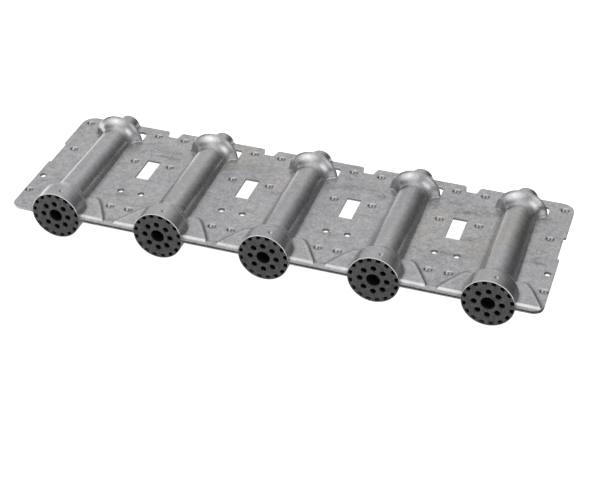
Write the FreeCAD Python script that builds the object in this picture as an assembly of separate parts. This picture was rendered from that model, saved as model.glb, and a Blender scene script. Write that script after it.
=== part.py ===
import FreeCAD, Part
import math
import os
from FreeCAD import Vector

# Five-tube in-shot gas burner assembly: two pressed sheet shells closed on each
# other on the plane of the burner axes, and one perforated flame insert in the
# front cup of each tube. Millimetres.
# Row frame: origin on the axis of the middle burner, at the rear mouth of its
# orifice collar; +X along the row, +Y from the flame end to the inlet end,
# +Z out of the upper shell. The flame face is the plane y = -DEPTH.
# Below, "back" is always a distance measured back from the front edge.

# ---- row and sheets -----------------------------------------------------
PITCH = 76.2            # spacing of the burner axes
COUNT = 5
THICK = 0.8             # sheet thickness
DEPTH = 126.6           # front edge to rear edge
HALF_W = 187.5          # half of the width of the sheets
GAP = 0.01              # half of the air gap between the two sheets

AXES = [(i - (COUNT - 1) / 2) * PITCH for i in range(COUNT)]
BAYS = [(a + b) / 2 for a, b in zip(AXES, AXES[1:])]    # centres between burners

FRONT_CORNER_R = 7.5
REAR_CORNER_R = 9.5
SIDE_NOTCH_FRONT = 60.0
SIDE_NOTCH_REAR = 86.0
SIDE_NOTCH_DEPTH = 1.6
SIDE_NOTCH_SLANT = 0.6  # run of its sloped ends
SIDE_NOTCH_R = 0.3
REAR_NOTCH_MOUTH_HALF_W = 5.2
REAR_NOTCH_ROOT_HALF_W = 3.6
REAR_NOTCH_DEPTH = 7.4
REAR_NOTCH_MOUTH_R = 2.0
REAR_NOTCH_ROOT_R = 1.0

# ---- burner bodies ------------------------------------------------------
# outer profile of one burner: (back, outer radius, blend radius)
PROFILE = [
    (0.0, 17.7, 0.0),
    (13.2, 17.7, 3.2),
    (22.3, 12.62, 5.0),
    (102.64, 11.46, 5.9),
    (106.09, 17.72, 1.7),
    (107.6, 18.37, 0.0),
]
MIN_BLEND = 0.3         # smallest blend radius left by an offset
FOOT_FILLET = 1.4       # where the pressed body leaves the flat sheet
FOOT_BAND = (5, 21)     # distances from an axis between which the foot edges lie

# air opening behind the bell, closed at the front by the bell's rear rim
SLOT_FRONT = PROFILE[-1][0]
SLOT_REAR = 118.6
SLOT_HALF_W = 18.3
SLOT_CORNER_R = 3.0

COLLAR_BORE_R = 7.5
SEAT_LEN = 8.2          # cup mouth ironed thin over this length
SEAT_R = 17.25          # inside radius of the ironed mouth

# ---- crossover channels and front lip -----------------------------------
CHANNEL_H = 1.5         # rise of the channel over the flat sheet
CHANNEL_DRAFT = 1.3     # horizontal run of its sloped inner sides
CHANNEL_INNER_INSET = 0.45
CHANNEL_REACH = 35.0    # from the burner axis
LAST_REACH = 34.2       # outside the last burner
BEVEL_FRONT = 2.0       # front slope of the channel, at lip height
BEVEL_REAR = 4.1        # and at the crest
LIP_H = 0.4             # rise of the front lip that forms the crossover slot
LIP_BACK = 5.2          # how far the lip runs back

# rear side of the channel in plan:
# (across from the axis, back, blend radius, share of an inset across, share back)
CHANNEL_PLAN = [
    (0.0, 27.2, 0.0, 0.0, 1.0),
    (20.9, 27.2, 5.0, 0.35, 1.0),
    (26.0, 20.8, 6.5, 0.92, 0.39),
]
TIP_INSET_SHARE = 0.9
TIP_BACK = 4.9          # rear corner at the tip
# pressed side of the channel: (share of its height, inset from the foot)
CHANNEL_SIDE = [
    (-0.13, -0.28), (0.05, 0.22), (0.27, 0.62), (0.5, 0.92),
    (0.73, 1.2), (0.95, 1.62), (1.0, 2.0),
]
CREST_SETBACK = 0.35    # extra setback of the crest's front edge
BEVEL_FLOOR = -0.3      # lowest share of the bevel that is followed
# (axis, side, reach): none outside the first burner, a shorter one outside the last
CHANNELS = [
    (x, side, LAST_REACH if i == COUNT - 1 and side > 0 else CHANNEL_REACH)
    for i, x in enumerate(AXES)
    for side in (-1, 1)
    if not (i == 0 and side < 0)
]

# ---- windows, screws and press joints -----------------------------------
WINDOW_FRONT = 60.36    # one window in each bay
WINDOW_REAR = 84.93
WINDOW_HALF_W = 5.1
WINDOW_CORNER_R = 0.5

SCREW_R = 1.75          # pilot hole in the lower sheet
SCREW_CLEAR_R = 2.4     # clearance hole in the upper sheet
SCREW_OFFSET = 7.70     # either side of the bay centre
SCREW_BACK = 42.12
END_SCREW_X = 183.0

# press joints: (offset from the bay centre, back), then (distance from x = 0, back)
BAY_CLINCH = [(13.89, 80.28), (10.32, 117.08), (6.88, 21.55)]
END_CLINCH = [(181.0, 118.0), (177.3, 81.0), (184.3, 22.3)]
CLINCH_R = 2.25         # pocket radius on the upper face
CLINCH_ENTRY = 0.8      # rounding at the mouth of the pocket
CLINCH_DEPTH = 1.3      # depth of the pocket under the upper face
CLINCH_FLOOR_R = 0.8    # flat left by the punch nose
CLINCH_WALL = 0.45      # thinned wall of each sheet inside the joint
CLINCH_CHAMFER = 0.3

# heights and radii through a joint, from the pocket outwards
POCKET_Z = THICK - CLINCH_DEPTH               # bottom of the pocket
CUP_Z = POCKET_Z - CLINCH_WALL                # under side of the upper sheet
SEAT_Z = CUP_Z - 2 * GAP                      # upper side of the lower sheet
BUTTON_Z = SEAT_Z - CLINCH_WALL               # under side of the lower sheet
CUP_R = CLINCH_R + CLINCH_WALL
CLINCH_SEAT_R = CUP_R + 2 * GAP
BUTTON_R = CLINCH_SEAT_R + CLINCH_WALL

# ---- stakes and flame inserts -------------------------------------------
STAKE_ANGLE = 11.0      # from the crown of each half cup, degrees towards +X
STAKE_BACK = 5.9
STAKE_R = 1.3
STAKE_DEPTH = 0.55
STAKE_WALL = 0.38       # metal left under a stake

INSERT_R = 17.2
INSERT_LEN = 8.0
INSERT_TURN = 1.1       # degrees
INSERT_FRONT_CHAMFER = 0.25
INSERT_REAR_CHAMFER = 0.4
CENTRE_HOLE_R = 4.85
RING_HOLES = 8
RING_PCR = 9.15         # pitch circle radius
RING_HOLE_R = 2.1
EDGE_NOTCHES = 16
EDGE_NOTCH_HALF_W = 1.65
EDGE_NOTCH_ROOT = 14.55
EDGE_NOTCH_CORNER = 0.9
GROOVE_FRONT = 4.6      # groove the stakes bite into
GROOVE_REAR = 7.4
GROOVE_DEPTH = 0.75
GROOVE_SLANT = 0.5

# ---- working allowances -------------------------------------------------
OVERRUN = 5.0           # blank past the finished edges, trimmed later
TOOL_H = 40             # half height of the punching tools
UNDERCUT = 0.5          # inner tools start this far below the parting plane
ALONG = Vector(0, 1, 0)


# ---- helpers ------------------------------------------------------------
def row_y(back):
    return back - DEPTH


def rounded(points, place):
    """Closed wire through (u, v, blend radius); place maps a flat vector into space."""
    corners = []        # start, end and arc midpoint of each blend
    for i, (u, v, radius) in enumerate(points):
        corner = Vector(u, v, 0)
        if radius <= 0:
            corners.append((corner, corner, None))
            continue
        before = Vector(*points[i - 1][:2], 0) - corner
        after = Vector(*points[(i + 1) % len(points)][:2], 0) - corner
        before.normalize()
        after.normalize()
        half = before.getAngle(after) / 2
        cut = radius / math.tan(half)
        bisector = before + after
        bisector.normalize()
        centre = corner + bisector * (radius / math.sin(half))
        corners.append((corner + before * cut, corner + after * cut, centre - bisector * radius))
    edges = []
    for i, (start, end, middle) in enumerate(corners):
        if middle is not None:
            edges.append(Part.Arc(place(start), place(middle), place(end)).toShape())
        following = corners[(i + 1) % len(corners)][0]
        if (following - end).Length > 1e-6:
            edges.append(Part.makeLine(place(end), place(following)))
    return Part.Wire(edges)


def flat(z):
    """Placing of plan points (x, back) at height z."""
    return lambda p: Vector(p.x, row_y(p.y), z)


def prism(points, z0, z1):
    return Part.Face(rounded(points, flat(z0))).extrude(Vector(0, 0, z1 - z0))


def punch(x, half_w, front, rear, front_r, rear_r):
    """Tall tool with a rectangular plan centred on x."""
    points = [
        (x - half_w, front, front_r),
        (x + half_w, front, front_r),
        (x + half_w, rear, rear_r),
        (x - half_w, rear, rear_r),
    ]
    return prism(points, -TOOL_H, TOOL_H)


def frustum(lower, upper, z0, z1):
    """Solid with sloped sides between two outlines that have the same corners."""
    return Part.makeLoft([rounded(lower, flat(z0)), rounded(upper, flat(z1))], True, True)


def turned(points, x, back):
    """Solid of revolution about the vertical through (x, back); points are (radius, z)."""
    wire = Part.makePolygon([Vector(r, 0, z) for r, z in points + points[:1]])
    solid = Part.Face(wire).revolve(Vector(0, 0, 0), Vector(0, 0, 1), 360)
    solid.translate(Vector(x, row_y(back), 0))
    return solid


def rod(radius, x, z, front, length):
    """Cylinder along the row's Y direction."""
    return Part.makeCylinder(radius, length, Vector(x, row_y(front), z), ALONG)


def half_rod(x, radius, front, rear):
    """The part of a rod on a burner axis that lies above the parting plane."""
    length = rear - front
    box_corner = Vector(x - radius - 1, row_y(front), 0)
    box = Part.makeBox(2 * radius + 2, length, radius + 1, box_corner)
    return rod(radius, x, 0, front, length).common(box)


# ---- burner bodies ------------------------------------------------------
def offset_profile(inset, front_run, rear_run):
    """The burner profile moved inward by inset and run past its two ends."""
    lines = []
    for (s0, r0, _), (s1, r1, _) in zip(PROFILE, PROFILE[1:]):
        length = math.hypot(s1 - s0, r1 - r0)
        ds, dr = inset * (r1 - r0) / length, -inset * (s1 - s0) / length
        lines.append(((s0 + ds, r0 + dr), (s1 + ds, r1 + dr)))
    back, radius = lines[0][0]
    points = [(back - front_run, radius, 0.0)]
    for i in range(1, len(lines)):
        (ax, ay), (bx, by) = lines[i - 1]
        (cx, cy), (dx, dy) = lines[i]
        # corner where the two offset lines cross
        spread = (ax - bx) * (cy - dy) - (ay - by) * (cx - dx)
        share = ((ax - cx) * (cy - dy) - (ay - cy) * (cx - dx)) / spread
        turn = (bx - ax) * (dy - cy) - (by - ay) * (dx - cx)
        blend = PROFILE[i][2] + (inset if turn > 0 else -inset)
        crossing = (ax + share * (bx - ax), ay + share * (by - ay))
        points.append((*crossing, max(blend, MIN_BLEND)))
    (ax, ay), (bx, by) = lines[-1]
    rear = PROFILE[-1][0] + rear_run
    share = (rear - ax) / (bx - ax)
    points.append((rear, ay + share * (by - ay), 0.0))
    return points


def half_body(x, inset, front_run, rear_run):
    """Upper half of the burner body as a solid of revolution."""
    profile = offset_profile(inset, front_run, rear_run)
    points = [(profile[0][0], 0.0, 0.0)] + profile + [(profile[-1][0], 0.0, 0.0)]
    wire = rounded(points, lambda p: Vector(p.y, row_y(p.x), 0))
    solid = Part.Face(wire).revolve(Vector(0, 0, 0), Vector(0, -1, 0), 180)
    solid.translate(Vector(x, 0, 0))
    return solid


# ---- crossover channels and front lip -----------------------------------
def channel_outline(x, side, inset, front, reach):
    """Channel beside one cup, in plan, with its sloped sides moved in by inset."""
    points = [
        (across - across_share * inset, back - back_share * inset, blend)
        for across, back, blend, across_share, back_share in CHANNEL_PLAN
    ]
    tip = reach - TIP_INSET_SHARE * inset
    points += [(tip, TIP_BACK, 0.0), (tip, front, 0.0), (0.0, front, 0.0)]
    return [(x + side * across, back, blend) for across, back, blend in points]


def channel_outer(x, side, reach):
    wires = []
    for share, inset in CHANNEL_SIDE:
        rise = share * CHANNEL_H
        bevel_share = max(BEVEL_FLOOR, (rise - LIP_H) / (CHANNEL_H - LIP_H))
        front = BEVEL_FRONT + (BEVEL_REAR - BEVEL_FRONT) * bevel_share
        if share == 1.0:
            front += CREST_SETBACK
        outline = channel_outline(x, side, inset, front, reach)
        wires.append(rounded(outline, flat(THICK + rise)))
    return Part.makeLoft(wires, True, True)


def channel_inner(x, side, reach):
    low = channel_outline(x, side, CHANNEL_INNER_INSET, BEVEL_FRONT, reach)
    high_inset = CHANNEL_INNER_INSET + CHANNEL_DRAFT
    high = channel_outline(x, side, high_inset, BEVEL_FRONT, reach)
    body = frustum(low, high, -UNDERCUT, CHANNEL_H)
    # wedge that gives the front its bevel
    start = BEVEL_FRONT + 0.3
    end = start + BEVEL_REAR - BEVEL_FRONT
    front, top = start - 3.0, CHANNEL_H + 3
    section = [
        (front, LIP_H), (start, LIP_H), (end, CHANNEL_H),
        (end, top), (front, top), (front, LIP_H),
    ]
    wire = Part.makePolygon([Vector(x - 45, row_y(back), z) for back, z in section])
    return body.cut(Part.Face(wire).extrude(Vector(90, 0, 0)))


def lip(z0, z1, right, low_back, high_back):
    """Raised front lip from the first burner axis to x = right."""
    def outline(back):
        left, front = AXES[0], -2.0
        return [(left, front, 0.0), (right, front, 0.0), (right, back, 0.0), (left, back, 0.0)]
    return frustum(outline(low_back), outline(high_back), z0, z1)


# ---- pressed sheet ------------------------------------------------------
def is_foot_edge(edge):
    """True for an edge along a burner body on the upper face of the flat sheet."""
    box = edge.BoundBox
    on_face = abs(box.ZMax - THICK) < 1e-4 and abs(box.ZMin - THICK) < 1e-4
    off_axis = min(abs(box.Center.x - x) for x in AXES)
    return on_face and FOOT_BAND[0] < off_axis < FOOT_BAND[1] and box.YMax - box.YMin > 0.2


def pressed_outside():
    half = HALF_W + OVERRUN
    corner = Vector(-half, row_y(-OVERRUN), 0)
    slab = Part.makeBox(2 * half, DEPTH + 2 * OVERRUN, THICK, corner)
    bodies = [half_body(x, 0.0, OVERRUN, 0.0) for x in AXES]
    collar_r = COLLAR_BORE_R + THICK
    collars = [half_rod(x, collar_r, SLOT_REAR - 4, DEPTH + OVERRUN) for x in AXES]
    outer = slab.fuse(bodies + collars).removeSplitter()
    # guards the foot fillets: the sharp feet stay if the kernel cannot blend them
    try:
        filleted = outer.makeFillet(FOOT_FILLET, [e for e in outer.Edges if is_foot_edge(e)])
        if filleted.isValid() and filleted.Volume > outer.Volume:
            outer = filleted
    except Exception:
        pass
    front_lip = lip(THICK - 0.1, THICK + LIP_H, HALF_W + 3, LIP_BACK + 0.6, LIP_BACK - 0.3)
    return outer.fuse([channel_outer(*channel) for channel in CHANNELS] + [front_lip])


def pressed_inside():
    past = OVERRUN + 1
    inner = [half_body(x, THICK, past, 1.0) for x in AXES]
    inner += [half_rod(x, COLLAR_BORE_R, SLOT_REAR - 6, DEPTH + past) for x in AXES]
    inner += [channel_inner(*channel) for channel in CHANNELS]
    inner += [lip(-UNDERCUT, LIP_H, HALF_W - 3.5, LIP_BACK - 0.1, LIP_BACK - 0.7)]
    inner += [half_rod(x, SEAT_R, -1, SEAT_LEN) for x in AXES]
    return inner[0].fuse(inner[1:])


def plate_outline():
    """Outline of the sheets: right side, rear edge, left side."""
    notch_x = HALF_W - SIDE_NOTCH_DEPTH
    right = [
        (HALF_W, 0.0, FRONT_CORNER_R),
        (HALF_W, SIDE_NOTCH_FRONT, SIDE_NOTCH_R),
        (notch_x, SIDE_NOTCH_FRONT + SIDE_NOTCH_SLANT, SIDE_NOTCH_R),
        (notch_x, SIDE_NOTCH_REAR - SIDE_NOTCH_SLANT, SIDE_NOTCH_R),
        (HALF_W, SIDE_NOTCH_REAR, SIDE_NOTCH_R),
        (HALF_W, DEPTH, REAR_CORNER_R),
    ]
    rear = []
    root = DEPTH - REAR_NOTCH_DEPTH
    for bay in reversed(BAYS):
        rear += [
            (bay + REAR_NOTCH_MOUTH_HALF_W, DEPTH, REAR_NOTCH_MOUTH_R),
            (bay + REAR_NOTCH_ROOT_HALF_W, root, REAR_NOTCH_ROOT_R),
            (bay - REAR_NOTCH_ROOT_HALF_W, root, REAR_NOTCH_ROOT_R),
            (bay - REAR_NOTCH_MOUTH_HALF_W, DEPTH, REAR_NOTCH_MOUTH_R),
        ]
    left = [(-x, back, radius) for x, back, radius in reversed(right)]
    return right + rear + left


def border_tool():
    """Everything outside the outline of the sheets."""
    half, margin = HALF_W + 40, 30
    corner = Vector(-half, row_y(-margin), -TOOL_H)
    frame = Part.makeBox(2 * half, DEPTH + 2 * margin, 2 * TOOL_H, corner)
    return frame.cut(prism(plate_outline(), -TOOL_H - 1, TOOL_H + 1))


def pressed_sheet():
    """Sheet above z = 0 with its pressed forms and cut-outs, before the press joints."""
    blank = pressed_outside().cut(pressed_inside()).removeSplitter()
    tools = [border_tool()]
    for x in AXES:
        tools.append(punch(x, SLOT_HALF_W, SLOT_FRONT, SLOT_REAR, 0.0, SLOT_CORNER_R))
    for bay in BAYS:
        tools.append(punch(bay, WINDOW_HALF_W, WINDOW_FRONT, WINDOW_REAR,
                           WINDOW_CORNER_R, WINDOW_CORNER_R))
    return blank.cut(Part.makeCompound(tools))


# ---- screws, press joints and stakes ------------------------------------
def screw_holes(radius):
    places = [bay + offset for bay in BAYS for offset in (-SCREW_OFFSET, SCREW_OFFSET)]
    places += [-END_SCREW_X, END_SCREW_X]
    return [Part.makeCylinder(radius, 10, Vector(x, row_y(SCREW_BACK), -5)) for x in places]


def at_clinches(points):
    """One turned solid at every press joint."""
    spots = []
    for bay in BAYS:
        for offset, back in BAY_CLINCH:
            spots += [(bay - offset, back), (bay + offset, back)]
    for x, back in END_CLINCH:
        spots += [(-x, back), (x, back)]
    return [turned(points, x, back) for x, back in spots]


# sections of the press joint: (radius, z)
POCKET = [
    (0, THICK + 1),
    (CLINCH_R + CLINCH_ENTRY, THICK + 1),
    (CLINCH_R + CLINCH_ENTRY, THICK),
    (CLINCH_R + 0.62 * CLINCH_ENTRY, THICK - 0.07 * CLINCH_ENTRY),
    (CLINCH_R + 0.25 * CLINCH_ENTRY, THICK - 0.28 * CLINCH_ENTRY),
    (CLINCH_R - 0.05 * CLINCH_ENTRY, THICK - 0.62 * CLINCH_ENTRY),
    (CLINCH_R - 0.55, THICK - 0.95),
    (CLINCH_FLOOR_R + 0.3, POCKET_Z + 0.07),
    (CLINCH_FLOOR_R, POCKET_Z),
    (0, POCKET_Z),
]
CUP = [
    (0, THICK / 2), (CUP_R, THICK / 2),
    (CUP_R, CUP_Z + CLINCH_CHAMFER), (CUP_R - CLINCH_CHAMFER, CUP_Z), (0, CUP_Z),
]
CLINCH_SEAT = [
    (0, 1), (CLINCH_SEAT_R, 1), (CLINCH_SEAT_R, SEAT_Z + CLINCH_CHAMFER),
    (CLINCH_SEAT_R - CLINCH_CHAMFER, SEAT_Z), (0, SEAT_Z),
]
BUTTON = [
    (0, -THICK / 2), (BUTTON_R + 0.25, -THICK / 2), (BUTTON_R + 0.25, -THICK),
    (BUTTON_R, BUTTON_Z + CLINCH_CHAMFER), (BUTTON_R - 0.35, BUTTON_Z), (0, BUTTON_Z),
]


def stake_ball(x, up, wall):
    """Sphere of a stake, moved outward by wall; up is 1 for the upper shell, -1 for the lower."""
    angle = math.radians(STAKE_ANGLE)
    outward = Vector(math.sin(angle), 0, up * math.cos(angle))
    radius = (STAKE_R**2 + STAKE_DEPTH**2) / (2 * STAKE_DEPTH)
    away = SEAT_R - STAKE_DEPTH + radius + wall
    return Part.makeSphere(radius, Vector(x, row_y(STAKE_BACK), 0) + outward * away)


def stake_bump(x, up):
    """The part of a stake that stands into the cup."""
    within = rod(SEAT_R + THICK / 2, x, 0, STAKE_BACK - 10, 20)
    return stake_ball(x, up, 0).common(within)


def staked(shell, up):
    """Shell with a stake in each cup, trimmed to the outline again."""
    shell = shell.fuse([stake_bump(x, up) for x in AXES])
    shell = shell.cut([stake_ball(x, up, STAKE_WALL) for x in AXES] + [border_tool()])
    return shell.removeSplitter()


# ---- pieces -------------------------------------------------------------
def upper_shell(sheet):
    shell = sheet.copy()
    shell.translate(Vector(0, 0, GAP))
    shell = shell.fuse(at_clinches(CUP))
    shell = shell.cut(at_clinches(POCKET) + screw_holes(SCREW_CLEAR_R))
    return staked(shell, 1)


def lower_shell(mirrored_sheet):
    shell = mirrored_sheet.copy()
    shell.translate(Vector(0, 0, -GAP))
    shell = shell.fuse(at_clinches(BUTTON))
    shell = shell.cut(at_clinches(CLINCH_SEAT) + screw_holes(SCREW_R))
    return staked(shell, -1)


def flame_insert(x):
    """Grooved disc with a centre hole, a ring of holes and notches round its edge."""
    groove_r = INSERT_R - GROOVE_DEPTH
    section = [         # (radius, back)
        (0, 0),
        (INSERT_R - INSERT_FRONT_CHAMFER, 0),
        (INSERT_R, INSERT_FRONT_CHAMFER),
        (INSERT_R, GROOVE_FRONT),
        (groove_r, GROOVE_FRONT + GROOVE_SLANT),
        (groove_r, GROOVE_REAR - GROOVE_SLANT),
        (INSERT_R, GROOVE_REAR),
        (INSERT_R, INSERT_LEN - INSERT_REAR_CHAMFER),
        (INSERT_R - INSERT_REAR_CHAMFER, INSERT_LEN),
        (0, INSERT_LEN),
        (0, 0),
    ]
    wire = Part.makePolygon([Vector(radius, row_y(back), 0) for radius, back in section])
    body = Part.Face(wire).revolve(Vector(0, 0, 0), ALONG, 360)

    cut_len = INSERT_LEN + 2
    tools = [rod(CENTRE_HOLE_R, 0, 0, -1, cut_len)]
    for i in range(RING_HOLES):
        angle = math.radians(INSERT_TURN + 360 / RING_HOLES * i)
        tools.append(rod(RING_HOLE_R, RING_PCR * math.cos(angle),
                         RING_PCR * math.sin(angle), -1, cut_len))
    notch = [
        (EDGE_NOTCH_ROOT, -EDGE_NOTCH_HALF_W, EDGE_NOTCH_CORNER),
        (INSERT_R + 2, -EDGE_NOTCH_HALF_W, 0),
        (INSERT_R + 2, EDGE_NOTCH_HALF_W, 0),
        (EDGE_NOTCH_ROOT, EDGE_NOTCH_HALF_W, EDGE_NOTCH_CORNER),
    ]
    for i in range(EDGE_NOTCHES):
        wire = rounded(notch, lambda p: Vector(p.x, row_y(-1), p.y))
        tool = Part.Face(wire).extrude(Vector(0, cut_len, 0))
        angle = INSERT_TURN + 180 / EDGE_NOTCHES + 360 / EDGE_NOTCHES * i
        tool.rotate(Vector(0, 0, 0), Vector(0, -1, 0), angle)
        tools.append(tool)
    body = body.cut(tools)
    body.translate(Vector(x, 0, 0))
    return body


def export(shape, name):
    """Write the largest solid of a shape."""
    solid = max(shape.Solids, key=lambda s: s.Volume)
    solid.exportStep(f"parts/{name}.step")


os.makedirs("parts", exist_ok=True)
sheet = pressed_sheet()
mirrored_sheet = sheet.mirror(Vector(0, 0, 0), Vector(0, 0, 1))
export(upper_shell(sheet), "upper_shell")
export(lower_shell(mirrored_sheet), "lower_shell")
for number, x in enumerate(AXES, 1):
    export(flame_insert(x), f"flame_insert_{number}")
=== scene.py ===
"""A row of five flame tubes pressed from two aluminised sheet shells, with sintered inserts.

The row runs along X and is centred on x = 0. The flame end faces -Y, at y = -DEPTH_MM, the rear
end is towards y = 0, and Z is up. Materials work in millimetres, the scene in metres.
"""

import math
from types import SimpleNamespace

import bpy
from mathutils import Matrix, Vector


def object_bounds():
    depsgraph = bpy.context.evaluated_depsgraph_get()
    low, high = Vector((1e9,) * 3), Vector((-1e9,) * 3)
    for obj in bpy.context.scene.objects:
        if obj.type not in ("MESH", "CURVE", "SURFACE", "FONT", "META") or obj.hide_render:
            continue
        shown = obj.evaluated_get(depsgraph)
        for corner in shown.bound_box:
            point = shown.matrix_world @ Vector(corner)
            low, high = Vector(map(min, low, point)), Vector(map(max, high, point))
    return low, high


PITCH_MM = 76.2  # between neighbouring tubes
DEPTH_MM = 126.6  # flame end to rear end

FLOOR_HALF = 5.0  # metres
FLOOR_GAP = 0.0003  # floor below the lowest point, metres

# Dark handling marks: x, y, half length, half width (mm), turn (degrees), strength
UPPER_MARKS = [
    (-112.0, -33.0, 16.0, 3.2, -6, 0.42), (-108.0, -27.5, 13.0, 2.2, -3, 0.34),
    (-118.0, -22.0, 10.0, 2.0, -10, 0.25), (-36.0, -26.0, 15.0, 4.5, 4, 0.26),
    (-14.0, -52.0, 9.0, 3.0, 10, 0.22), (-26.0, -80.0, 6.0, 2.2, 0, 0.30),
    (36.0, -28.0, 17.0, 4.0, 12, 0.30), (24.0, -19.0, 9.0, 2.0, 8, 0.30),
    (47.0, -60.0, 5.5, 2.6, 0, 0.36), (56.0, -34.0, 4.5, 3.5, 30, 0.34),
    (112.0, -24.0, 13.0, 1.6, 6, 0.52), (118.0, -33.0, 12.0, 3.4, 10, 0.40),
    (139.0, -30.0, 10.0, 2.6, -6, 0.30), (125.0, -63.5, 5.5, 2.6, 0, 0.45),
    (117.0, -84.0, 8.0, 1.6, -3, 0.45), (167.0, -24.0, 12.0, 3.5, 8, 0.30),
    (-167.0, -60.0, 9.0, 5.0, 20, 0.16), (-110.0, -99.0, 12.0, 3.0, 0, 0.20),
    (35.0, -97.0, 14.0, 3.0, 0, 0.18),
]
LOWER_MARKS = [
    (-95.0, -30.0, 18.0, 4.0, 10, 0.35), (-30.0, -60.0, 8.0, 12.0, 10, 0.22),
    (48.0, -25.0, 15.0, 3.0, -8, 0.35), (110.0, -90.0, 12.0, 3.0, 5, 0.30),
    (-170.0, -70.0, 6.0, 14.0, 5, 0.25), (165.0, -40.0, 9.0, 6.0, 0, 0.25),
]

# Studio reflectors: azimuth, elevation, width (degrees), brightness.
# Azimuth 0 is +Y (behind the row), 90 is +X, 180 is the flame side.
REFLECTORS = [
    (-77, 4, 9.9, 0.38), (-51, 4, 9.9, 0.48), (-26, 4, 9.9, 0.68), (0, 4, 9.9, 0.67),
    (26, 4, 9.9, 0.05), (51, 4, 9.9, 0.10), (77, 4, 9.9, 0.36), (-75, 24, 9.9, 0.25),
    (-45, 24, 9.9, 0.52), (-15, 24, 9.9, 0.57), (15, 24, 9.9, 0.18), (45, 24, 9.9, 0.11),
    (75, 24, 9.9, 0.34), (-72, 44, 9.9, 0.54), (-36, 44, 9.9, 0.66), (0, 44, 9.9, 0.61),
    (36, 44, 9.9, 0.44), (72, 44, 9.9, 0.50), (-180, 4, 6.4, 0.03), (-162, 4, 6.4, 0.42),
    (-144, 4, 6.4, 1.73), (-126, 4, 6.4, 0.77), (-108, 4, 6.4, 0.03), (108, 4, 6.4, 0.35),
    (126, 4, 6.4, 0.49), (144, 4, 6.4, 1.24), (162, 4, 6.4, 0.50), (-171, 20, 6.4, 1.29),
    (-153, 20, 6.4, 1.98), (-135, 20, 6.4, 1.26), (-117, 20, 6.4, 0.59), (-99, 20, 6.4, 0.14),
    (99, 20, 6.4, 0.52), (117, 20, 6.4, 1.47), (135, 20, 6.4, 2.09), (153, 20, 6.4, 1.34),
    (171, 20, 6.4, 0.45), (-180, 36, 6.4, 0.50), (-160, 36, 6.4, 1.26), (-140, 36, 6.4, 1.06),
    (-120, 36, 6.4, 0.71), (-100, 36, 6.4, 0.21), (100, 36, 6.4, 0.79), (120, 36, 6.4, 1.38),
    (140, 36, 6.4, 1.86), (160, 36, 6.4, 0.63), (-180, 53, 7.8, 0.60), (-150, 53, 7.8, 0.54),
    (-120, 53, 7.8, 0.61), (120, 53, 7.8, 0.64), (150, 53, 7.8, 0.37), (-150, 66, 10.6, 0.42),
    (-90, 66, 10.6, 0.80), (-30, 66, 10.6, 0.66), (30, 66, 10.6, 0.74), (90, 66, 10.6, 0.57),
    (150, 66, 10.6, 0.33), (-180, 86, 9.9, 0.82),
]


# ---------------------------------------------------------------- node helpers
class Field:
    """A node output; arithmetic on it adds math nodes."""

    def __init__(self, graph, socket):
        self.graph = graph
        self.socket = socket

    def __add__(self, other):
        return self.graph.math("ADD", self, other)

    def __radd__(self, other):
        return self.graph.math("ADD", other, self)

    def __sub__(self, other):
        return self.graph.math("SUBTRACT", self, other)

    def __rsub__(self, other):
        return self.graph.math("SUBTRACT", other, self)

    def __mul__(self, other):
        return self.graph.math("MULTIPLY", self, other)

    def __rmul__(self, other):
        return self.graph.math("MULTIPLY", other, self)

    def __truediv__(self, other):
        return self.graph.math("DIVIDE", self, other)

    def __abs__(self):
        return self.graph.math("ABSOLUTE", self)


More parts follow.
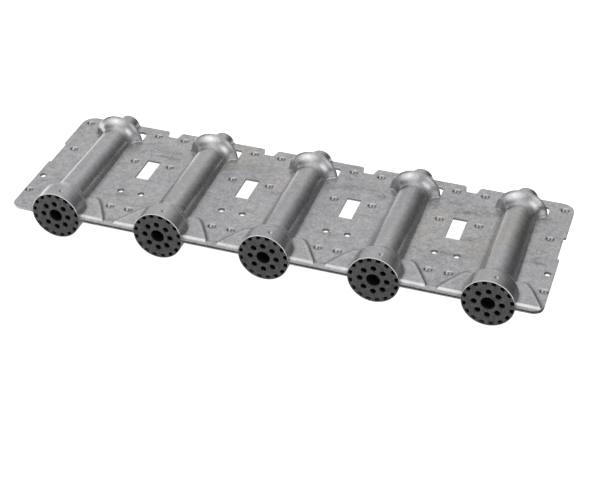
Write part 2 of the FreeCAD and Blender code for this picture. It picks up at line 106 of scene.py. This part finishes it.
class Graph:
    """Builds a shader node tree from expressions."""

    def __init__(self, tree):
        self.tree = tree
        tree.nodes.clear()

    def node(self, kind, inputs=None, **settings):
        node = self.tree.nodes.new(kind)
        for key, value in settings.items():
            setattr(node, key, value)
        for key, value in (inputs or {}).items():
            self.feed(node.inputs[key], value)
        return node

    def feed(self, socket, value):
        if isinstance(value, Field):
            self.tree.links.new(value.socket, socket)
        elif socket.type == "RGBA":
            socket.default_value = (*value, 1.0)
        else:
            socket.default_value = value

    def out(self, node, output=0):
        return Field(self, node.outputs[output])

    def math(self, operation, *operands):
        return self.out(self.node("ShaderNodeMath", dict(enumerate(operands)), operation=operation))

    def vector(self, operation, inputs, output="Vector"):
        return self.out(self.node("ShaderNodeVectorMath", inputs, operation=operation), output)

    def millimetres(self, coords):
        return self.vector("SCALE", {0: coords, "Scale": 1000.0})

    def shift(self, coords, offset):
        return self.vector("ADD", {0: coords, 1: offset})

    def stretch(self, coords, x=1.0, y=1.0):
        return self.vector("MULTIPLY", {0: coords, 1: (x, y, 1.0)})

    def dot(self, first, second):
        return self.vector("DOT_PRODUCT", {0: first, 1: second}, output="Value")

    def object_coords(self):
        return self.out(self.node("ShaderNodeTexCoord"), "Object")

    def split(self, vector):
        node = self.node("ShaderNodeSeparateXYZ", {0: vector})
        return [self.out(node, i) for i in range(3)]

    def join(self, x, y, z):
        return self.out(self.node("ShaderNodeCombineXYZ", {0: x, 1: y, 2: z}))

    def ramp(self, value, off, on, low=0.0, high=1.0):
        """Smooth step from low, where value is off, to high, where it is on."""
        inputs = {"Value": value, "From Min": off, "From Max": on, "To Min": low, "To Max": high}
        node = self.node(
            "ShaderNodeMapRange", inputs, interpolation_type="SMOOTHSTEP", clamp=True)
        return self.out(node, "Result")

    def noise(self, coords, size, detail=3.0, rough=0.5, distort=0.0):
        inputs = {"Vector": coords, "Scale": 1 / size, "Detail": detail,
                  "Roughness": rough, "Distortion": distort}
        return self.out(self.node("ShaderNodeTexNoise", inputs), "Fac")

    def voronoi(self, coords, size, output="Distance"):
        return self.out(
            self.node("ShaderNodeTexVoronoi", {"Vector": coords, "Scale": 1 / size}), output)

    def mix(self, factor, under, over, mode="MIX"):
        inputs = {0: factor, 6: under, 7: over}
        return self.out(self.node("ShaderNodeMix", inputs, data_type="RGBA", blend_type=mode), 2)

    def multiply(self, under, over):
        return self.mix(1.0, under, over, "MULTIPLY")

    def paint(self, base, coats):
        """Lay coats over base, each given as (cover, opacity, colour)."""
        for cover, opacity, colour in coats:
            base = self.mix(cover * opacity, base, colour)
        return base

    def bump(self, height, distance, strength=1.0, normal=None):
        inputs = {"Strength": strength, "Distance": distance, "Height": height}
        if normal:
            inputs["Normal"] = normal
        return self.out(self.node("ShaderNodeBump", inputs))

    def openness(self, distance):
        """Ambient occlusion: 1 in the open, 0 in a closed corner."""
        node = self.node("ShaderNodeAmbientOcclusion", {"Distance": distance}, samples=3)
        return self.out(node, "AO")

    def bevel(self, radius, samples=3):
        return self.out(self.node("ShaderNodeBevel", {"Radius": radius}, samples=samples), "Normal")

    def turned(self, x, y, angle):
        """x and y along axes turned by angle (radians)."""
        cosine, sine = math.cos(angle), math.sin(angle)
        return x * cosine + y * sine, y * cosine - x * sine

    def falloff(self, square):
        return self.math("EXPONENT", square * -1.0)

    def band(self, value, offset, width):
        """Soft band of unit height where value is -offset."""
        across = (value + offset) / width
        return self.falloff(across * across)

    def spot(self, x, y, centre, radii, turn=0.0):
        """Soft elliptical spot of unit height; turn in degrees."""
        from_centre = [self.math("SUBTRACT", x, centre[0]), self.math("SUBTRACT", y, centre[1])]
        along, across = self.turned(*from_centre, math.radians(turn))
        along = along / radii[0]
        across = across / radii[1]
        return self.falloff(along * along + across * across)

    def nearest_line(self, x):
        """Number of the nearest multiple of the pitch, and the offset from it."""
        index = self.math("ROUND", x / PITCH_MM)
        return index, x - index * PITCH_MM

    def maximum(self, first, second):
        return self.math("MAXIMUM", first, second)

    def surface(self, shader):
        self.node("ShaderNodeOutputMaterial", {"Surface": self.out(shader)})


def swing(pattern, amount):
    """A 0 to 1 pattern centred on zero, with the given full range."""
    return (pattern - 0.5) * amount


def grey(level):
    return (level, level, level)


def new_material(name):
    material = bpy.data.materials.new(name)
    material.use_nodes = True
    return material, Graph(material.node_tree)


# ---------------------------------------------------------------- aluminised sheet
def sheet_space(g, seed):
    """Coordinates, zones and patterns that several parts of the sheet material share."""
    coords = g.object_coords()
    grid = g.shift(g.millimetres(coords), (seed * 37.0, seed * 11.0, seed * 53.0))
    x, y, z = g.split(g.millimetres(coords))
    height = abs(z)  # from the seam plane
    drawn = g.ramp(height, off=1.3, on=3.5)  # raised metal
    return SimpleNamespace(
        grid=grid, x=x, y=y, z=z, height=height, drawn=drawn,
        even=1.0 - drawn * 0.55,
        mottle=g.noise(grid, size=5.2, detail=5.0, rough=0.62, distort=0.6),
        grain=g.noise(g.stretch(grid, x=0.35), size=0.55, detail=2.0, rough=0.6),
        draw_lines=g.noise(g.stretch(grid, y=0.035), size=0.9, rough=0.6))


def sheet_tone(g, at):
    """Broad clouds, mottling, fine spangle and grain."""
    cloud = g.noise(g.stretch(at.grid, y=0.7), size=48.0, rough=0.55, distort=0.4)
    spangle = g.split(g.voronoi(at.grid, size=2.0, output="Color"))[0]
    pepper = g.noise(g.stretch(at.grid, x=0.8), size=1.25, rough=0.65)
    tone = 0.80 + swing(cloud, 0.30)
    # pattern, range, zone
    for pattern, amount, zone in (
            (at.mottle, 0.60, at.even), (spangle, 0.15, at.even), (pepper, 0.90, at.even),
            (at.grain, 0.22, at.even), (at.draw_lines, 0.16, at.drawn)):
        tone = tone + swing(pattern, amount) * zone
    return tone


def sheet_smudge(g, at):
    """Dark rubbed smudges, stretched along the row, in scattered patches."""
    smear = g.noise(
        g.stretch(at.grid, x=0.45, y=1.15), size=12.0, detail=5.0, rough=0.66, distort=1.4)
    patch = g.noise(g.shift(at.grid, (90.0, 20.0, 5.0)), size=34.0, detail=2.0, distort=0.3)
    return g.ramp(smear, off=0.575, on=0.74) * g.ramp(patch, off=0.46, on=0.64) * 0.34


def sheet_marks(g, at, marks, breakup):
    """Handling marks on the low metal."""
    first, *others = [
        g.spot(at.x, at.y, centre=(x, y), radii=(length, width), turn=turn) * strength
        for x, y, length, width, turn, strength in marks]
    return sum(others, first) * breakup * g.ramp(at.height, off=3.0, on=1.6)


def sheet_stain(g, at, breakup):
    """Three heat stains on the low metal near the screw holes."""
    stain = g.spot(at.x, at.y, centre=(-117.5, -88.6), radii=(7.0, 3.6), turn=10)
    stain = stain + g.spot(at.x, at.y, centre=(32.5, -88.0), radii=(8.5, 2.6), turn=-8) * 0.8
    stain = stain + g.spot(at.x, at.y, centre=(117.0, -84.6), radii=(7.0, 2.0), turn=-3) * 0.55
    return stain * (0.35 + breakup * 0.65) * g.ramp(at.height, off=3.0, on=1.6)


def sheet_scratches(g, at, seed):
    """Thin wandering scratches in three directions."""
    sets = []
    for angle in (0.35, -0.9, 1.5):
        along, across = g.turned(at.x, at.y, angle)
        wander = swing(g.noise(at.grid, size=30.0, detail=1.0), 12.0)
        streaks = g.join(along * 0.030, (across + wander) * 1.5, seed + angle * 9)
        lines = g.noise(streaks, size=1.0, detail=1.0, rough=0.3)
        sets.append(g.ramp(lines, off=0.735, on=0.80))
    return g.maximum(g.maximum(sets[0], sets[1]), sets[2])


def sheet_shade_and_edge_highlight(g, at):
    """Painted shade with grime in creases, painted shade at the bottom of raised metal, painted
    highlights along sharp edges, and the rear zone.
    """
    geometry = g.node("ShaderNodeNewGeometry")
    # painted shade in creases from ambient occlusion, made patchy, rougher and less metallic like
    # grime
    crease_shade_and_grime = g.ramp(g.openness(0.0035), off=0.88, on=0.42)
    patchy = g.noise(at.grid, size=2.2, rough=0.6)
    crease_shade_and_grime = crease_shade_and_grime * g.ramp(patchy, off=0.25, on=0.6, low=0.45)
    slope = abs(g.split(g.out(geometry, "True Normal"))[2])
    wall = g.ramp(slope, off=0.35, on=0.15) * g.ramp(at.height, off=2.2, on=1.6)
    crease_shade_and_grime = crease_shade_and_grime * (1.0 - wall * 0.75)
    rear = g.ramp(at.y, off=-33.0, on=-29.0) * g.ramp(at.height, off=2.5, on=4.5)
    crease_shade_and_grime = crease_shade_and_grime * (1.0 - rear * 0.85)
    # painted shade at the bottom of raised metal, from ambient occlusion
    foot_shade = g.ramp(g.openness(0.0019), off=0.95, on=0.66) * (1.0 - g.maximum(wall, rear))
    # painted highlight along sharp edges
    edge_highlight = g.ramp(g.dot(g.bevel(0.00055), g.out(geometry, "Normal")), off=0.985, on=0.80)
    edge_highlight = edge_highlight * g.ramp(g.noise(at.grid, size=1.7, rough=0.65), off=0.32, on=0.58)
    return crease_shade_and_grime, foot_shade, edge_highlight, rear


def paint_pits(g, at, base, from_front):
    """Painted shade and highlights in the small pits: three rows between the tubes and outside the
    end tubes.
    """
    side = abs(at.x)
    bay = abs(g.nearest_line(at.x - PITCH_MM / 2)[1])
    past_first = g.math("GREATER_THAN", from_front, 50.0)
    past_second = g.math("GREATER_THAN", from_front, 100.0)
    outside = g.math("GREATER_THAN", side, 2 * PITCH_MM)

    def by_row(first, second, third):
        return first + past_first * (second - first) + past_second * (third - second)

    def by_side(inner, outer):
        return inner * (1.0 - outside) + outer * outside

    # pit centres by row, front to rear: from the bay's middle, or from x = 0 outside the end tubes
    across = by_side(bay, side) - by_side(by_row(6.88, 13.89, 10.32), by_row(184.3, 177.3, 181.0))
    # and from the flame end
    along = from_front - by_side(by_row(21.55, 80.28, 117.08), by_row(22.3, 81.0, 118.0))
    mirrored = abs(across)
    flat = g.ramp(at.height, off=2.2, on=1.4)
    # painted shade and painted highlights in each pit
    shade = (g.spot(mirrored, along, centre=(0.0, 1.25), radii=(0.85, 1.35))
             + g.spot(mirrored, along, centre=(2.45, 0.15), radii=(0.78, 1.7)))
    gleam = (g.spot(mirrored, along, centre=(1.28, 0.95), radii=(0.42, 1.0))
             + g.spot(across, along, centre=(0.0, 2.85), radii=(2.3, 0.55)) * 0.9)
    return g.paint(base, (
        (shade * flat, 0.86, grey(0.09)),
        (gleam * flat, 0.80, grey(0.98)),
    ))


def paint_crossovers(g, at, base, from_front):
    """Painted shade and highlights on the crossover channels, tube mouths and tube tops; returns
    the colour and the mouth highlight mask.
    """
    offset = g.nearest_line(at.x)[1]
    top = g.ramp(at.z, off=14.0, on=15.5)
    wing = abs(offset)
    # distance outside the channel outline in plan: three straight sides with rounded corners
    rear_side = from_front - 27.2
    middle_side = (wing - 20.9) * 0.782 + rear_side * 0.623
    outer_side = (wing - 26.0) * 0.870 + (from_front - 20.8) * 0.4926
    rounding = 2.5
    away = g.math("SMOOTH_MAX", rear_side, middle_side, rounding)
    away = g.math("SMOOTH_MAX", away, outer_side, rounding)

    beside = g.ramp(at.height, off=3.4, on=2.5) * g.ramp(at.x, off=-154.0, on=-150.0)
    beside = beside * g.ramp(wing, off=16.5, on=18.0)
    behind_lip = beside * g.ramp(from_front, off=4.2, on=5.4)
    # painted shade along the bottom of the channel outline
    foot_shade = g.band(away, offset=0.25, width=1.25) * behind_lip
    # painted highlight along the channel crest
    crest_highlight = g.band(away, offset=2.9, width=0.6) * behind_lip
    slope_depth = g.ramp(from_front, off=1.6, on=2.9) * g.ramp(from_front, off=4.9, on=3.5)
    # painted highlight on the sloped front of each channel
    front_slope_highlight = g.ramp(away, off=-0.8, on=-2.6) * beside * slope_depth
    patchy = g.noise(at.grid, size=9.0, rough=0.6)
    front_slope_highlight = front_slope_highlight * g.ramp(patchy, off=0.25, on=0.65, low=0.45)
    # painted shade just back from the front lip
    lip_back_shade = g.ramp(away, off=0.0, on=0.8) * beside
    lip_back_shade = lip_back_shade * g.spot(0.0, from_front, centre=(0.0, 5.5), radii=(1.0, 0.55))
    base = g.paint(base, (
        (foot_shade, 0.66, (0.13, 0.13, 0.135)),
        (crest_highlight, 0.22, grey(0.95)),
        (front_slope_highlight, 0.78, grey(0.98)),
        (lip_back_shade, 0.45, (0.15, 0.15, 0.155)),
    ))

    # painted highlight on the upper part of each tube mouth's lip, also made less metallic
    rim_highlight = g.ramp(at.z, off=3.0, on=9.0) * g.ramp(wing, off=18.6, on=18.2)
    rim_highlight = g.ramp(from_front, off=0.45, on=0.2) * rim_highlight
    base = g.mix(rim_highlight, base, grey(0.97))
    # painted shade and a painted highlight of the stake dimple on top of each tube, just back from
    # the mouth
    dimple_shade = g.spot(offset, from_front, centre=(2.5, 5.6), radii=(1.3, 1.4))
    dimple_highlight = g.spot(offset, from_front, centre=(3.6, 6.1), radii=(0.75, 0.9))
    base = g.paint(base, (
        (dimple_shade * top, 0.60, grey(0.12)),
        (dimple_highlight * top, 0.85, grey(0.98)),
    ))
    return base, rim_highlight


def sheet_normal(g, at, scratches, rear):
    """Softened edges with five layers of relief, calmer on the rear raised metal."""
    rounded = g.ramp(at.y, off=-33.0, on=-30.0) * at.drawn
    normal = g.bevel(0.00035 + rounded * 0.0022, samples=2)
    calm = 1.0 - rear * 0.75
    peel = g.noise(at.grid, size=1.35, rough=0.55)
    waves = g.noise(g.stretch(at.grid, y=0.8), size=17.0, detail=2.0, rough=0.45)
    # height pattern, depth (m), strength
    for pattern, depth, strength in (
            (at.grain, 0.000014, calm), (peel, 0.000026, calm),
            (at.draw_lines * at.drawn, 0.000020, calm), (waves, 0.00022, calm),
            (scratches * at.even, 0.000010, -1.0)):
        normal = g.bump(pattern, depth, strength, normal)
    return normal


def sheet_material(name, seed, marks, upper=False):
    """Pressed aluminised steel with painted shade in creases and painted highlights along sharp
    edges; the upper shell also has painted shade and highlights on its pits and channels.
    """
    material, g = new_material(name)
    at = sheet_space(g, seed)
    smudge = sheet_smudge(g, at)
    breakup = g.noise(
        g.stretch(at.grid, x=0.55, y=1.2), size=4.2, detail=5.0, rough=0.7, distort=1.0)
    breakup = g.ramp(breakup, off=0.36, on=0.62)
    dark = sheet_marks(g, at, marks, breakup)
    tone = sheet_tone(g, at) * (1.0 - smudge) * (1.0 - dark)
    scratches = sheet_scratches(g, at, seed)
    crease_shade_and_grime, foot_shade, edge_highlight, rear = sheet_shade_and_edge_highlight(g, at)

    cool, warm = (0.560, 0.560, 0.580), (0.585, 0.575, 0.560)
    tint = g.noise(g.shift(at.grid, (7.0, 70.0, 0.0)), size=40.0)
    base = g.mix(g.ramp(tint, off=0.4, on=0.7), cool, warm)
    base = g.multiply(base, g.join(tone, tone, tone))
    base = g.multiply(base, grey(1.18))
    base = g.paint(base, (
        (sheet_stain(g, at, breakup), 0.70, (0.290, 0.262, 0.190)),
        # painted shade at the bottom of raised metal
        (foot_shade, 0.50, (0.13, 0.128, 0.126)),
        # painted shade with grime in creases
        (crease_shade_and_grime, 0.62, (0.075, 0.073, 0.072)),
    ))
    base = g.mix(scratches * 0.22 * (1.0 - at.drawn * 0.7), base, (0.80, 0.80, 0.82))
    # painted highlight along sharp edges
    base = g.paint(base, [(edge_highlight, 0.60, (0.86, 0.86, 0.87))])
    metallic = 1.0 - crease_shade_and_grime * 0.5
    if upper:
        from_front = at.y + DEPTH_MM
        base = paint_pits(g, at, base, from_front)
        base, rim_highlight = paint_crossovers(g, at, base, from_front)
        # the painted mouth highlight is less metallic
        metallic = metallic * (1.0 - rim_highlight * 0.85)

    rough = 0.335 + swing(at.mottle, 0.20) + swing(at.grain, 0.12)
    rough = rough + smudge * 0.30 + dark * 0.25 + crease_shade_and_grime * 0.25
    rough = rough - at.drawn * 0.09 - rear * 0.05 - edge_highlight * 0.08
    g.surface(g.node("ShaderNodeBsdfPrincipled", {
        "Base Color": base,
        "Metallic": metallic,
        "Roughness": rough,
        "Normal": sheet_normal(g, at, scratches, rear),
    }))
    return material


# ---------------------------------------------------------------- sintered inserts
def insert_material(name):
    """Dark sintered metal: granular, sooty, with faint rings about each tube axis; painted shade in
    recesses and on set-back surfaces, painted highlights along sharp edges.
    """
    material, g = new_material(name)
    grid = g.millimetres(g.object_coords())
    x, y, z = g.split(grid)
    index, offset = g.nearest_line(x)
    radius = g.math("SQRT", offset * offset + z * z)

    grit = g.noise(grid, size=0.42, rough=0.6)
    specks = g.ramp(g.voronoi(grid, size=0.75), off=0.16, on=0.05)
    soot = g.noise(grid, size=5.5, detail=4.0, rough=0.6, distort=0.5)
    rings = g.noise(g.join(radius * 1.9, index * 7.0, 0.0), size=1.0, detail=2.0, rough=0.6)
    blotch = g.noise(g.shift(grid, (3.0, 9.0, 4.0)), size=1.7, rough=0.6)
    tone = 1.0 + swing(soot, 1.0) + swing(blotch, 1.5) + swing(grit, 0.9) + swing(rings, 0.18)
    tone = g.maximum(tone, 0.2)
    base = g.multiply((0.104, 0.105, 0.108), g.join(tone, tone, tone))
    base = g.paint(base, [(specks, 0.25, (0.22, 0.22, 0.225))])

    # painted shade: black in the recesses and just back from the front face
    recess_shade = g.ramp(g.openness(0.004), off=0.62, on=0.12)
    behind_face_shade = g.ramp(y, off=0.35 - DEPTH_MM, on=1.3 - DEPTH_MM)
    base = g.mix(g.maximum(recess_shade * 0.85, behind_face_shade * 0.93), base, grey(0.006))
    normal = g.out(g.node("ShaderNodeNewGeometry"), "Normal")
    # painted highlight along sharp edges
    edge_highlight = g.ramp(g.dot(g.bevel(0.00035), normal), off=0.99, on=0.80)
    edge_highlight = edge_highlight * g.ramp(g.noise(grid, size=1.3, rough=0.6), off=0.35, on=0.6)
    base = g.paint(base, [(edge_highlight, 0.35, (0.21, 0.21, 0.215))])

    relief = g.bump(grit, distance=0.00006)
    g.surface(g.node("ShaderNodeBsdfPrincipled", {
        "Base Color": base,
        "Metallic": 0.25,
        "Roughness": 0.66 + swing(soot, 0.25) - edge_highlight * 0.18,
        "Specular IOR Level": 0.35 * (1.0 - behind_face_shade),
        "Normal": g.bump(rings, distance=0.00003, normal=relief),
    }))
    return material


def dress(piece, material):
    if len(piece.material_slots) == 0:
        piece.data.materials.append(material)
    for slot in piece.material_slots:
        slot.link = "OBJECT"
        slot.material = material


def dress_pieces(pieces):
    upper_sheet = sheet_material("aluminised_sheet_upper", 1.0, UPPER_MARKS, upper=True)
    lower_sheet = sheet_material("aluminised_sheet_lower", 5.0, LOWER_MARKS)
    sintered = insert_material("sintered_insert")
    for name, piece in pieces.items():
        if name.startswith("flame_insert"):
            dress(piece, sintered)
        else:
            dress(piece, upper_sheet if name == "upper_shell" else lower_sheet)


# ---------------------------------------------------------------- floor
def floor_material():
    """White paper to the camera; mirror rays see a separate glow."""
    material, g = new_material("studio_floor")
    paper = g.noise(g.object_coords(), size=1 / 900, rough=0.6)
    path = g.node("ShaderNodeLightPath")
    camera_ray = g.out(path, "Is Camera Ray")
    mirror_ray = g.out(path, "Is Glossy Ray")
    tone = (0.90 + swing(paper, 0.015)) * (1.0 - mirror_ray)
    diffuse = g.node("ShaderNodeBsdfDiffuse", {"Color": g.join(tone, tone, tone)})
    # what the metal mirrors: bright on the left and behind, dark on the right
    x, y, _ = g.split(g.out(g.node("ShaderNodeNewGeometry"), "Position"))
    middle = g.ramp(y, off=-0.02, on=0.02, low=0.31, high=0.84)
    seen = g.mix(g.ramp(x, off=-0.17, on=-0.21), middle, grey(1.45))
    seen = g.mix(g.ramp(x, off=0.17, on=0.21), seen, grey(0.10))
    glow = g.node("ShaderNodeEmission", {
        "Color": g.mix(camera_ray, seen, grey(0.90)),
        "Strength": g.maximum(camera_ray, mirror_ray),
    })
    g.surface(g.node("ShaderNodeAddShader", {0: g.out(diffuse), 1: g.out(glow)}))
    return material


def build_floor(scene, level):
    corners = [(x * FLOOR_HALF, y * FLOOR_HALF, level)
               for x, y in ((-1, -1), (1, -1), (1, 1), (-1, 1))]
    mesh = bpy.data.meshes.new("studio_floor")
    mesh.from_pydata(corners, [], [(0, 1, 2, 3)])
    mesh.update()
    floor = bpy.data.objects.new("studio_floor", mesh)
    floor.data.materials.append(floor_material())
    scene.collection.objects.link(floor)


# ---------------------------------------------------------------- light and camera
def heading(azimuth, elevation):
    """Unit vector towards a reflector."""
    turn, rise = math.radians(azimuth), math.radians(elevation)
    return (math.sin(turn) * math.cos(rise), math.cos(turn) * math.cos(rise), math.sin(rise))


def build_world(scene):
    """Soft reflectors all round for the metal, plain white to the camera."""
    world = bpy.data.worlds.new("studio")
    world.use_nodes = True
    scene.world = world
    g = Graph(world.node_tree)
    ray = g.vector("NORMALIZE", {0: g.out(g.node("ShaderNodeTexCoord"), "Generated")})
    strength = 0.02  # between the reflectors
    for azimuth, elevation, width, brightness in REFLECTORS:
        facing = g.dot(ray, heading(azimuth, elevation))
        lobe = g.math("EXPONENT", (facing - 1.0) * (1.0 / math.radians(width) ** 2))
        strength = strength + lobe * brightness
    camera_ray = g.out(g.node("ShaderNodeLightPath"), "Is Camera Ray")
    strength = strength * (1.0 - camera_ray) + camera_ray * 1.0
    background = g.node("ShaderNodeBackground", {"Color": grey(1.0), "Strength": strength})
    g.node("ShaderNodeOutputWorld", {"Surface": g.out(background)})


def build_camera(scene):
    """Looks down on the flame end from the right."""
    lens = bpy.data.cameras.new("camera")
    camera = bpy.data.objects.new("camera", lens)
    scene.collection.objects.link(camera)
    lens.sensor_width = 36.0
    lens.lens = 86.861
    lens.clip_start = 0.05
    lens.clip_end = 30.0
    axes = Matrix((
        (0.94833017, 0.3172699, 0.00311516),  # right
        (-0.18866819, 0.55598727, 0.8094952),  # up
        (0.25509647, -0.76825645, 0.58711824),  # back
    ))
    place = Vector((0.26693, -0.72588 - DEPTH_MM / 1000, 0.57531))
    camera.matrix_world = Matrix.Translation(place) @ axes.transposed().to_4x4()
    scene.camera = camera


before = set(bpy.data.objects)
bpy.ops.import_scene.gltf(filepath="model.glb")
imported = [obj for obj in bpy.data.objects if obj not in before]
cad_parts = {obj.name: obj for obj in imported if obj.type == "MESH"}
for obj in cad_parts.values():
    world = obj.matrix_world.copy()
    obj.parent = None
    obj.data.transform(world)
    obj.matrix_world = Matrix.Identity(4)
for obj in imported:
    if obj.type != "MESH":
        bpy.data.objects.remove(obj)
cad_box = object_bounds()
scene = bpy.context.scene
dress_pieces(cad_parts)
build_floor(scene, cad_box[0].z - FLOOR_GAP)
build_world(scene)
build_camera(scene)
scene.view_settings.view_transform = "Standard"
scene.view_settings.look = "None"
